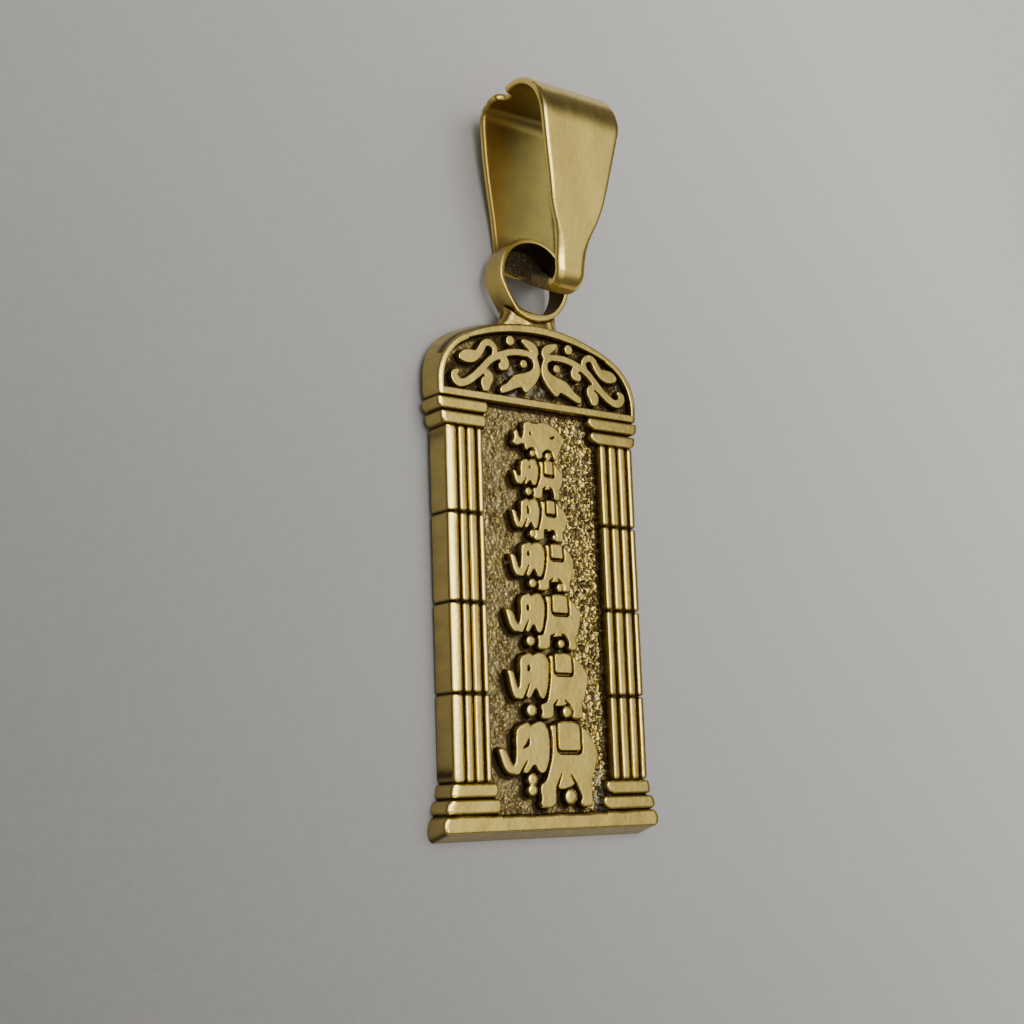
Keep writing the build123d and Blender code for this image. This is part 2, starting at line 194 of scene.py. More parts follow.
# Mouldings: side, x of the inner and the outer end, lower and upper edge, and the cut at the outer corner,
# the lower one where it is above 0 and the upper one where it is below
mouldings = [
    (-1, 2.92, 5.82, 0.8, 1.39, -0.24), (-1, 3.05, 5.56, 1.48, 2.05, -0.2), (-1, 3.1, 5.6, 17.5, 18.05, 0.26),
    (-1, 3, 5.76, 18.16, 18.68, 0.22), (1, 2.66, 5.82, 0.8, 1.37, -0.24),
    (1, 2.86, 5.56, 1.47, 2.05, -0.14), (1, 2.78, 5.6, 17.47, 18.02, 0.2),
    (1, 2.66, 5.76, 18.14, 18.69, 0.18),
]
raised = np.full(X.shape, OUTSIDE)
for side, inner, outer, low, high, cut in mouldings:
    lower_cut, upper_cut = max(cut, 0), max(-cut, 0)
    # The inner end is a beak on the right and a plain round on the left
    if side > 0:
        end = [
            (inner + 0.14, high), (inner + 0.04, high - 0.08), (inner, high - 0.19),
            (inner + 0.04, high - 0.32), (inner + 0.2, low + 0.1), (inner + 0.48, low),
        ]
    else:
        end = [
            (inner + 0.13, high), (inner + 0.03, high - 0.1), (inner, (low + high) / 2),
            (inner + 0.04, low + 0.1), (inner + 0.14, low),
        ]
    shape = np.array([
        (outer - lower_cut, low), (outer, low + lower_cut + 0.02), (outer, high - upper_cut - 0.02),
        (outer - upper_cut, high), *end,
    ]) * (side, 1)
    near = (np.abs(X - side * 4.3) < 2.2) & (Y > low - 0.4) & (Y < high + 0.4)
    raised[near] = np.maximum(raised[near], inside(X[near], Y[near], shape))
bars = brow(raised, 0.13, 0.11, BURIED, 0.08)

# Ribs between the flutes: inner and outer edge; the outermost runs on over the plaque's edge
ribs = np.full(X.shape, OUTSIDE)
drums = [(2.11, 5.78), (5.86, 9.67), (9.75, 13.58), (13.66, 17.44)]
rib_edges = [
    (-1, ((3.37, 3.65), (3.78, 4.19), (4.29, 4.67), (4.77, 5.6))),
    (1, ((3.3, 3.67), (3.84, 4.28), (4.42, 4.81), (4.96, 5.6))),
]
for side, edges in rib_edges:
    for x0, x1 in edges:
        for y0, y1 in drums:
            near = (np.abs(side * X - 4.4) < 1.4) & (Y > y0 - 0.2) & (Y < y1 + 0.2)
            box = in_box(side * X[near], Y[near], x0, x1, y0, y1, 0.13)
            ribs[near] = np.maximum(ribs[near], box)
ribs = brow(ribs, 0.13, 0.08, BURIED, 0.09)

# The block that carries ribs and mouldings, sunk behind their faces
blocks = ((3.34, 7.0, 0.5, 19.0, 0.02), (3.06, 7.0, 0.5, 2.0, 0.1), (3.06, 7.0, 17.5, 19.0, 0.1))
block = np.max([in_box(np.abs(X), Y, *sides) for sides in blocks], 0)
block = brow(block, 0.05, 0.12, 0.42, 0.04) - 0.3

# The seven elephants. One animal is charted, the lowest, and stretched between stations to the others:
# across at trunk, face, ear, front and rear of the saddle cloth, rump; up at sole, belly, chin, foot of
# the cloth, back
elephants = np.array([
    (-2.85, -2.1, -0.32, 0.17, 1.5, 2.43, 0.92, 1.75, 2.42, 3.33, 4.68),
    (-2.29, -1.76, -0.2, 0.15, 1.18, 2.02, 4.74, 5.33, 5.62, 6.74, 7.68),
    (-2.3, -1.62, -0.32, 0.14, 1.08, 1.74, 7.78, 8.38, 8.52, 9.4, 10.3),
    (-1.98, -1.48, -0.2, 0.17, 0.9, 1.48, 10.4, 10.82, 11, 11.86, 12.58),
    (-1.83, -1.42, -0.4, 0, 0.56, 1.22, 12.65, 13.12, 13.16, 13.86, 14.55),
    (-1.7, -1.36, -0.38, -0.02, 0.52, 1.06, 14.55, 15, 15.14, 15.66, 16.38),
    (-1.68, -1.14, -0.3, 0.05, 0.5, 1.16, 16.4, 16.82, 16.92, 17.45, 18.12),
])
head = [
    (-3, 3.4), (-2.94, 3.5), (-2.8, 3.54), (-2.66, 3.5), (-2.54, 3.38), (-2.44, 3.2), (-2.36, 3.02),
    (-2.28, 2.88), (-2.2, 2.86), (-2.14, 3), (-2.09, 3.3), (-2.08, 3.6), (-2.08, 4), (-2.02, 4.3),
    (-1.9, 4.45), (-1.7, 4.55), (-1.45, 4.64), (-1.32, 4.6), (-1.24, 4.52), (-1.1, 4.58), (-0.9, 4.66),
    (-0.66, 4.68), (-0.46, 4.6), (-0.35, 4.4), (-0.29, 4.1), (-0.26, 3.8), (-0.27, 3.4), (-0.33, 3),
    (-0.45, 2.65), (-0.6, 2.46), (-0.78, 2.44), (-0.92, 2.56), (-1.04, 2.74), (-1.18, 2.76), (-1.32, 2.62),
    (-1.48, 2.46), (-1.64, 2.44), (-1.74, 2.52), (-1.86, 2.44), (-2.05, 2.38), (-2.28, 2.38), (-2.5, 2.45),
    (-2.68, 2.61), (-2.81, 2.84), (-2.9, 3.1),
]
body = [
    (-0.2, 4.42), (-0.12, 4.52), (0, 4.52), (0.15, 4.58), (0.35, 4.66), (0.8, 4.7), (1.2, 4.66),
    (1.4, 4.54), (1.6, 4.46), (1.74, 4.36), (1.95, 4.15), (2.15, 3.88), (2.3, 3.6), (2.42, 3.35), (2.42, 3.1),
    (2.32, 2.8), (2.18, 2.45), (2.06, 2.1), (2.03, 1.7), (2.04, 1.3), (2.04, 1.02), (1.95, 0.94), (1.7, 0.92),
    (1.5, 0.96), (1.36, 1.08), (1.38, 1.22), (1.44, 1.36), (1.34, 1.62), (1.24, 1.84), (1.1, 1.98),
    (0.96, 1.88), (0.8, 1.8), (0.6, 1.76), (0.4, 1.72), (0.22, 1.74), (0.1, 1.84), (0.02, 1.7), (0, 1.4),
    (-0.02, 1.2), (-0.08, 1.02), (-0.25, 0.93), (-0.5, 0.92), (-0.75, 0.96), (-0.86, 1.14), (-0.8, 1.3),
    (-0.8, 1.45), (-0.84, 1.62), (-0.84, 1.8), (-0.78, 1.96), (-0.62, 2.06), (-0.48, 2.2), (-0.38, 2.45),
    (-0.27, 2.75), (-0.18, 3.05), (-0.14, 3.3), (-0.12, 3.6), (-0.12, 4), (-0.16, 4.25),
]
eye = [(-1.38, 3.94), (-1.35, 3.72), (-1.43, 3.6), (-1.72, 3.51), (-1.53, 3.68)]
small_eye = [(-1.6, 3.78), (-1.5, 3.84), (-1.44, 3.62), (-1.5, 3.46), (-1.62, 3.52)]
smallest = [
    (-1.75, 17.02), (-1.64, 17.25), (-1.66, 17.5), (-1.5, 17.64), (-1.38, 17.52), (-1.33, 17.34),
    (-1.21, 17.32), (-1.13, 17.6), (-1.09, 17.95), (-0.86, 18.08), (-0.56, 18.03), (-0.35, 18.04),
    (-0.1, 18.11), (0.15, 18.11), (0.41, 18.05), (0.81, 17.85), (1.11, 17.55), (1.2, 17.31), (1.03, 17.04),
    (0.88, 16.72), (0.66, 16.4), (0.54, 16.56), (0.44, 16.8), (0.2, 16.84), (-0.04, 16.7), (-0.08, 16.48),
    (-0.24, 16.37), (-0.41, 16.44), (-0.46, 16.66), (-0.56, 16.86), (-0.8, 16.84), (-0.94, 16.74),
    (-1.06, 16.82), (-1.12, 17), (-1.46, 16.9),
]
cuts = [
    [(0.16, 4.8, 0.045), (0.17, 3.52, 0.05), (0.23, 3.38, 0.065), (0.38, 3.31, 0.075), (1.34, 3.3, 0.075),
     (1.47, 3.36, 0.06), (1.51, 3.5, 0.045), (1.47, 4.75, 0.04)],
    [(-1.53, 2.94, 0.02), (-1.86, 2.46, 0.05)],
    [(0.32, 2.36, 0.02), (0.06, 1.8, 0.05)],
    [(0.88, 2.32, 0.02), (1.12, 1.94, 0.05)],
]
cloth = [(0.27, 4.58), (0.27, 3.43), (1.41, 3.43), (1.38, 4.58)]
# Small marks on the upper animals: eyes, and a crease on the smallest one's side
marks = [
    [(-1.02, 14.12, 0.03), (-1, 13.98, 0.055), (-1.01, 13.86, 0.03)],
    [(-0.84, 15.96, 0.035), (-0.81, 15.99, 0.035)],
    [(-0.73, 17.5, 0.04), (-0.73, 17.56, 0.03)],
    [(0.4, 17.43, 0.01), (0.52, 17.44, 0.04), (0.64, 17.51, 0.01)],
]
# Far feet and balls between the legs: elephant from the lowest, x, y, radius
feet = [
    (0, 0.86, 1.4, 0.36), (0, -1.22, 2.18, 0.28), (0, -1.24, 1.73, 0.27), (1, 0.8, 5.08, 0.27),
    (1, -1.15, 5.14, 0.29), (2, 0.6, 8.08, 0.2), (2, -1.08, 8.16, 0.25), (3, 0.66, 10.6, 0.2),
    (3, -0.86, 10.72, 0.22), (4, 0.46, 12.86, 0.14), (4, -0.78, 12.95, 0.19), (5, -0.92, 14.85, 0.2),
    (5, -1.43, 15.42, 0.13), (6, 0.26, 16.57, 0.19), (6, -0.63, 16.62, 0.17),
]


def on_elephant(points, stations):
    """Points charted on the lowest elephant, carried to another by straight steps between its stations and on
    past the last one at the whole animal's scale."""
    p = np.array(points, float)
    model = elephants[0]
    for axis, knots in ((0, slice(0, 6)), (1, slice(6, 11))):
        a, b = model[knots], stations[knots]
        scale = (b[-1] - b[0]) / (a[-1] - a[0])
        beyond = np.clip(p[:, axis] - a[-1], 0, None) - np.clip(a[0] - p[:, axis], 0, None)
        p[:, axis] = np.interp(p[:, axis], a, b) + scale * beyond
    return p


# herd: the animals; incised: their eyes and cut lines; padded: their saddle cloths
herd, incised, padded = (np.full(X.shape, OUTSIDE) for _ in range(3))
plump = np.full(X.shape, 0.06)
for number, stations in enumerate(elephants):
    trunk, face, rump, sole, chin, back = stations[[0, 1, 5, 6, 8, 10]]
    near = (X > trunk - 0.4) & (X < rump + 0.4) & (Y > sole - 0.4) & (Y < back + 0.4)
    x, y = X[near], Y[near]
    scale = (rump - trunk) / (elephants[0, 5] - elephants[0, 0])
    if number == 6:
        shape = inside(x, y, curve_round(smallest))
    else:
        shape = inside(x, y, curve_round(on_elephant(head, stations)))
        shape = np.maximum(shape, inside(x, y, curve_round(on_elephant(body, stations))))
        lines = [in_stroke(x, y, on_elephant(cut, stations) * (1, 1, 0.55 + 0.45 * scale)) for cut in cuts]
        if number < 4:
            lines.append(inside(x, y, on_elephant(small_eye if number else eye, stations)))
        incised[near] = np.maximum(incised[near], np.max(lines, 0))
        padded[near] = np.maximum(padded[near], inside(x, y, on_elephant(cloth, stations)))
    # Trunk, feet and balls are rounder than the rest: this is how far in the rounding of an edge reaches
    slim = ((x < face - 0.02) & (y > chin - 0.2)) | (y < sole + 0.16 * scale)
    thick = np.where(slim, 0.06 + 0.1 * scale, 0.06)
    for which, fx, fy, radius in feet:
        if which == number:
            ball = radius - np.hypot(x - fx, y - fy)
            shape = np.maximum(shape, ball)
            thick = np.where(ball > -0.05, 0.6 * radius, thick)
    herd[near] = np.maximum(herd[near], shape)
    plump[near] = np.maximum(plump[near], thick)
for rows in marks:
    incised = np.maximum(incised, in_stroke(X, Y, rows))
plump = softened(plump, 0.03)
animals = brow(herd, plump, 0.1, BURIED, 0.55 * plump) + 0.03 * held(padded / 0.08)
animals = np.minimum(animals, -0.22 * held(incised / 0.045 + 0.4) - OUTSIDE * (incised < -0.018))

# Scrolls of the arch, right half: across, up, half width; the left half hangs a little lower outwards
scrolls = [
    [(0.92, 21.84, 0.13), (0.66, 21.72, 0.2), (0.42, 21.58, 0.24), (0.28, 21.42, 0.2), (0.28, 21.24, 0.14)],
    [(0.28, 21.22, 0.12), (0.8, 21.27, 0.16), (1.3, 21.28, 0.17), (1.8, 21.2, 0.17), (2.2, 21.05, 0.19),
     (2.55, 20.93, 0.19), (2.85, 20.72, 0.18), (3.12, 20.47, 0.18), (3.32, 20.24, 0.21), (3.6, 20, 0.19),
     (3.9, 19.77, 0.19), (4.22, 19.59, 0.19), (4.52, 19.56, 0.21), (4.74, 19.72, 0.21), (4.78, 19.94, 0.17),
     (4.62, 20.06, 0.12)],
    [(2.6, 21, 0.15), (2.55, 21.28, 0.15), (2.7, 21.48, 0.17), (2.95, 21.55, 0.18), (3.18, 21.42, 0.18),
     (3.33, 21.16, 0.19), (3.55, 20.92, 0.22), (3.85, 20.82, 0.31), (4.12, 20.8, 0.3), (4.36, 20.76, 0.18)],
    [(2.34, 20.98, 0.12), (2.05, 20.86, 0.2), (2, 20.62, 0.23), (2.16, 20.54, 0.22)],
    [(3.12, 20.2, 0.15), (2.92, 20.04, 0.21), (2.9, 19.86, 0.22), (3.08, 19.7, 0.29), (3.1, 19.52, 0.25)],
    [(1.68, 21.78, 0.24), (1.681, 21.78, 0.24)],
    [(0.95, 20.77, 0.2), (0.951, 20.77, 0.2)],
]
leaf = [
    (0.14, 21.05), (0.05, 20.78), (0.03, 20.45), (0.12, 20.18), (0.35, 19.85), (0.6, 19.6), (0.82, 19.43),
    (0.98, 19.46), (1.08, 19.6), (1.2, 19.62), (1.5, 19.53), (1.85, 19.38), (2.15, 19.28), (2.3, 19.33),
    (2.33, 19.5), (2.2, 19.65), (1.95, 19.78), (1.75, 19.98), (1.5, 20.2), (1.2, 20.3), (0.9, 20.38),
    (0.6, 20.5), (0.45, 20.65), (0.42, 20.85), (0.5, 21), (0.7, 21.12), (0.42, 21.3), (0.22, 21.22),
]
foliage = np.full(X.shape, OUTSIDE)
for side, lower in ((1, 0.0), (-1, 0.035)):
    near = (side * X > -0.3) & (side * X < 5.4) & (Y > MID_BAR) & (Y < 22.5)
    x = side * X[near]
    y = Y[near] + lower * x
    shape = inside(x, y, curve_round(leaf))
    for rows in scrolls:
        shape = np.maximum(shape, in_stroke(x, y, curve_along(rows)))
    foliage[near] = np.maximum(foliage[near], shape)
foliage = brow(foliage, 0.055, 0.11, 0.6, 0.032)

# Grounds: the panel's is grained, coarser and brighter to the right; the arch's is smoother
bright_side = held((X - 0.2) / 1.4)
tooth = grain(11, 0.045) * (0.0035 + 0.014 * bright_side)
tooth = tooth + grain(12, 0.1) * (0.0045 + 0.0125 * bright_side)
ground = np.where(Y > BAR_FOOT, ARCH_FLOOR + 0.7 * tooth, PANEL_FLOOR + tooth)
wavy = 0.016 * np.sin(2.6 * X + 1) + 0.008 * np.sin(6.1 * X)
plinth = brow(0.72 - 0.05 * (np.abs(X) < 2.9) + wavy - Y, 0.14, 0.11, BURIED, 0.12)
arch_bar = brow(np.minimum(Y - BAR_FOOT - 0.03, BAR_TOP - Y), 0.07, 0.1, 0.7, 0.05)
rim = brow(-in_arch(X, Y, *ARCH_INNER), 0.07, 0.11, 0.6, 0.045)
upper = np.max([arch_bar, foliage, rim, ground], 0)
upper[Y < MID_BAR] = np.maximum(arch_bar, ground)[Y < MID_BAR]
lower = np.max([bars, ribs, block, animals, plinth, ground], 0)
lower = np.where(Y > 18.68, np.maximum(lower, arch_bar), lower)
front = np.where(Y < BAR_FOOT, lower, upper)

# The outer edge is worn round, most of all along the left column, least along the foot and over the arch
on_column = softened(((X < -4.6) & (Y > 0.8) & (Y < 17.3)).astype(float), 0.06)
over_arch = held((Y - 19.3) / 0.3) * held((X + 4.9) / 0.5)
worn = np.where(out_side < Y, 0.24 + 0.18 * on_column - 0.12 * over_arch, 0.12)
front = np.minimum(front, brow(edge_in, worn, 0.05, 0.25, 0.06 + 0.25 * worn))
front = front + 0.0035 * grain(21, 0.3) + 0.0008 * grain(22, 0.07)
slope_y, slope_x = np.gradient(softened(front, 0.008), CELL)
out_y, out_x = np.gradient(softened(edge_in, 0.03), CELL)

# Where the metal is painted nearly black: oxide on the walls below the worn edges, in the pits of the grain,
# and on the ground in a band beside everything that stands up; on those walls and in that band it is also
# painted shade, which widens the band to the left of everything and below it, but less at the panel's upper
# right
steep = held(1.2 * np.hypot(slope_x, slope_y) - 0.5) * held((-front - 0.045) / 0.04)
tall = softened((front > -0.12).astype(float), 0.13)
beside = np.maximum(tall, np.roll(tall, (-9, -10), (0, 1)))
patchy = grain(23, 0.14)
lighter_upper_right = 0.45 * spot(X - 2.3, Y - 17.3, 0.9, 0.9)
band = held(3.6 * beside - 0.42 - lighter_upper_right + 0.14 * patchy)
lighter_arch_left = 0.5 * spot(X + 4.0, Y - 21.2, 1, 1)
band = np.maximum(band, np.where(Y > MID_BAR, 0.72 + 0.3 * patchy - lighter_arch_left, 0))
pits = held((-tooth - 0.004) / 0.03) * (0.3 + 0.4 * bright_side) * (Y < MID_BAR)
band = np.maximum(band, pits) * held((-front - 0.16) / 0.08)
oxide_and_shade = held(np.maximum(steep * (1 - 0.35 * (X < -3.35)), band))
crests = bright_side * held((tooth + 0.008) / 0.02) * (Y < MID_BAR)
# Where the metal is dull: sunk parts but for the grain's crests; and painted shade, darker and duller, on the
# right capital and one rump
sunk_and_shaded = held((-front - 0.16) / 0.16) * (1 - 0.7 * crests)
painted_shade = 0.24 * spot(X - 4.4, Y - 18.4, 1.5, 0.9)
painted_shade = np.maximum(painted_shade, 0.2 * spot(X - 1.0, Y - 17.4, 0.5, 0.6))
sunk_and_shaded = np.maximum(sunk_and_shaded, painted_shade)

# Grey polish left in corners of the grounds: across, up, spread
polish = [
    (0.3, 19.62, 0.22), (-0.28, 19.62, 0.2), (-1.4, 19.3, 0.24), (1.35, 20.8, 0.18), (-1.5, 20.3, 0.26),
    (2.75, 1.15, 0.42), (2.7, 2.1, 0.36), (2.3, 18, 0.26), (0.1, 12.75, 0.16),
]
grime = np.zeros(X.shape)
for px, py, spread in polish:
    grime = np.maximum(grime, spot(X - px, Y - py, spread * math.sqrt(2), spread * math.sqrt(2)))
grime = held(1.3 * grime + 0.42 * grain(31, 0.055) - 0.8) * held((-front - 0.2) / 0.1)


def read(field, x, y):
    """The field's value between its cells, taken straight across and up."""
    u = np.clip((x - across[0]) / CELL, 0, len(across) - 1.001)
    v = np.clip((y - along[0]) / CELL, 0, len(along) - 1.001)
    i, j = v.astype(int), u.astype(int)
    a, b = u - j, v - i
    low = field[i, j] * (1 - a) + field[i, j + 1] * a
    high = field[i + 1, j] * (1 - a) + field[i + 1, j + 1] * a
    return low * (1 - b) + high * b


def unit(v):
    """Vectors brought to length 1."""
    return v / np.maximum(np.linalg.norm(v, axis=-1, keepdims=True), 1e-12)


def turned(n):
    """Directions in the plaque's frame, turned to the way that it lies."""
    c, s = math.cos(TILT), math.sin(TILT)
    return np.stack([n[..., 0], n[..., 1] * c - n[..., 2] * s, n[..., 1] * s + n[..., 2] * c], -1)


def put(name, data):
    """A new object with that data, in the scene."""
    thing = bpy.data.objects.new(name, data)
    bpy.context.scene.collection.objects.link(thing)
    return thing


def make_piece(name, points, faces, corner_normals, fields, material, slot):
    """Puts the arrays into a mesh: points in metres, faces as arrays of corners, one normal for each corner
    or none, and a number at each point for every named field. The piece rides the pendant and stands for the
    node that its slot is named after."""
    mesh = bpy.data.meshes.new(name)
    corners = np.concatenate([f.ravel() for f in faces]).astype(np.int32)
    sizes = np.concatenate([np.full(f.shape[0], f.shape[1]) for f in faces])
    mesh.vertices.add(len(points))
    mesh.vertices.foreach_set("co", np.ascontiguousarray(points, np.float32).ravel())
    mesh.loops.add(len(corners))
    mesh.loops.foreach_set("vertex_index", corners)
    mesh.polygons.add(len(sizes))
    mesh.polygons.foreach_set("loop_start", (np.cumsum(sizes) - sizes).astype(np.int32))
    for key, values in fields.items():
        mesh.attributes.new(key, "FLOAT", "POINT").data.foreach_set(
            "value", np.ravel(values).astype(np.float32)
        )
    mesh.update(calc_edges=True)
    mesh.polygons.foreach_set("use_smooth", np.ones(len(sizes), bool))
    mesh.materials.append(material)
    if corner_normals is not None:
        mesh.normals_split_custom_set(corner_normals)
    piece = put(name, mesh)
    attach(piece, "root")
    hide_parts(slot.split("_")[0])


class Flow:
    """One output of a shader node. Sums, differences, products and quotients of it with numbers or other
    outputs add the Math nodes that work them out."""

    def __init__(self, tree, socket):
        self.tree, self.socket = tree, socket

    def math(self, operation, *values, clamp=False):
        node = self.tree.nodes.new("ShaderNodeMath")
        node.operation, node.use_clamp = operation, clamp
        for place, value in zip(node.inputs, values):
            if isinstance(value, Flow):
                self.tree.links.new(value.socket, place)
            else:
                place.default_value = value
        return Flow(self.tree, node.outputs[0])

    def held(self):
        """The same value held between 0 and 1."""
        return self.math("ADD", self, 0.0, clamp=True)


# The operators, each also with the flow on its right
for sign, operation in (("add", "ADD"), ("sub", "SUBTRACT"), ("mul", "MULTIPLY"), ("truediv", "DIVIDE")):
    setattr(Flow, f"__{sign}__", lambda self, other, name=operation: self.math(name, self, other))
    setattr(Flow, f"__r{sign}__", lambda self, other, name=operation: self.math(name, other, self))


class Finish:
    """A material's or the room's node tree. add() makes any node: its type, then its settings, then what its
    sockets take, as values or as other nodes' outputs. A socket goes by its name or, as i0 or i6, by its
    place."""

    def __init__(self, owner, coordinates="Object"):
        self.owner, owner.use_nodes = owner, True
        self.tree = owner.node_tree
        self.tree.nodes.clear()
        self.place = self.add("ShaderNodeTexCoord", out=coordinates)

    def add(self, kind, settings=None, out=0, **sockets):
        node = self.tree.nodes.new(kind)
        for key, value in (settings or {}).items():
            setattr(node, key, value)
        for key, value in sockets.items():
            key = key.replace("_", " ")
            socket = node.inputs[int(key[1:]) if key[0] == "i" and key[1:].isdigit() else key]
            if isinstance(value, Flow):
                self.tree.links.new(value.socket, socket)
            else:
                socket.default_value = value
        return Flow(self.tree, node.outputs[out]) if node.outputs else None

    def noise(self, size, detail=3.0, rough=0.55, stretch=(1, 1, 1)):
        """Cloudy noise whose lumps are that many mm across, drawn out by the stretch."""
        where = self.add("ShaderNodeMapping", Vector=self.place, Scale=tuple(1 / s for s in stretch))
        return self.add("ShaderNodeTexNoise", Vector=where, Scale=1000 / size, Detail=detail, Roughness=rough)

    def blend(self, share, first, second):
        """Colour first where share is 0, second where it is 1."""
        first, second = (c if isinstance(c, Flow) else (*c, 1) for c in (first, second))
        return self.add("ShaderNodeMix", {"data_type": "RGBA"}, out=2, i0=share, i6=first, i7=second)

    def field(self, name):
        """The numbers kept at the mesh's points under that name."""
        return self.add("ShaderNodeAttribute", {"attribute_name": name}, out="Fac")

    def bump(self, height, strength, distance, under=None):
        """Normals tipped by a height that counts for the distance in metres, over those of a bump under it."""
        sockets = {"Height": height, "Strength": strength, "Distance": distance}
        if under is not None:
            sockets["Normal"] = under
        return self.add("ShaderNodeBump", **sockets)

    def close(self, **sockets):
        """The surface's shader with those sockets, and the finished material."""
        self.add("ShaderNodeOutputMaterial", Surface=self.add("ShaderNodeBsdfPrincipled", **sockets))
        return self.owner


GOLD = (0.83, 0.63, 0.17)


def plaque_gold():
    """Cast gold: buffed bright on the raised faces, with fine wear; olive and dull on the outer walls, duller
    and grained where it is sunk, darker with painted shade on the right capital and one rump, and nearly black
    with oxide and painted shade beside everything that stands up, with a little grey polish left in the
    corners."""
    f = Finish(bpy.data.materials.new("plaque gold"))
    oxide_and_shade, sunk_and_shaded, wall, grime = (f.field(name) for name in ("oxide_and_shade", "sunk_and_shaded", "wall", "grime"))
    clouds = f.noise(1.6, 4)
    blotch = f.noise(0.55, 4, 0.6)
    fine = f.noise(0.16, 3, 0.6)
    scuff = f.noise(0.35, 4, 0.6, stretch=(1, 6, 1))
    streak = f.noise(0.7, 4, 0.6, stretch=(1, 1, 3))
    glint = ((f.noise(0.12, 2, 0.6) - 0.53) * 9.0).held()
    colour = f.blend((clouds - 0.35).held(), GOLD, (0.76, 0.55, 0.14))
    colour = f.blend((wall * (0.45 + 0.9 * streak)).held(), colour, (0.42, 0.32, 0.105))
    # Dull, darker sunk parts, and the painted shade on the right capital and one rump
    dull_and_shade = (sunk_and_shaded * (0.7 + 0.6 * clouds)).held()
    floor_tone = f.blend(((blotch - 0.5) * 4.0 + 0.5).held(), (0.105, 0.072, 0.025), (0.225, 0.182, 0.09))
    colour = f.blend(dull_and_shade * (1.0 - 0.6 * glint), colour, floor_tone)
    # Nearly black: oxide, and painted shade on the walls and in the band beside raised shapes
    dark = (oxide_and_shade * (0.66 + 0.7 * fine)).held()
    colour = f.blend(dark, colour, (0.046, 0.028, 0.011))
    crust = (grime * (0.3 + fine)).held()
    colour = f.blend(crust, colour, (0.36, 0.36, 0.31))
    rough = 0.19 + 0.12 * scuff + wall * 0.08 + dull_and_shade * 0.14 + dark * 0.25 + crust * 0.3
    metallic = (1.0 - dark * 0.04 - crust * 0.8).held()
    height = f.bump(scuff, 0.12, 0.00002)
    height = f.bump(streak, wall * 0.3, 0.00006, height)
    height = f.bump(fine, sunk_and_shaded * 0.7 + 0.03, 0.00004, height)
    return f.close(Base_Color=colour, Roughness=rough, Metallic=metallic, Normal=height)


plaque_finish = plaque_gold()


def back_shift(y):
    """How far the back's outline is moved along y from the front's: down over the plinth, up along the arch."""
    return DRAFT * (held((y - BAR_FOOT) / 0.7) - held((0.76 - y) / 0.76))


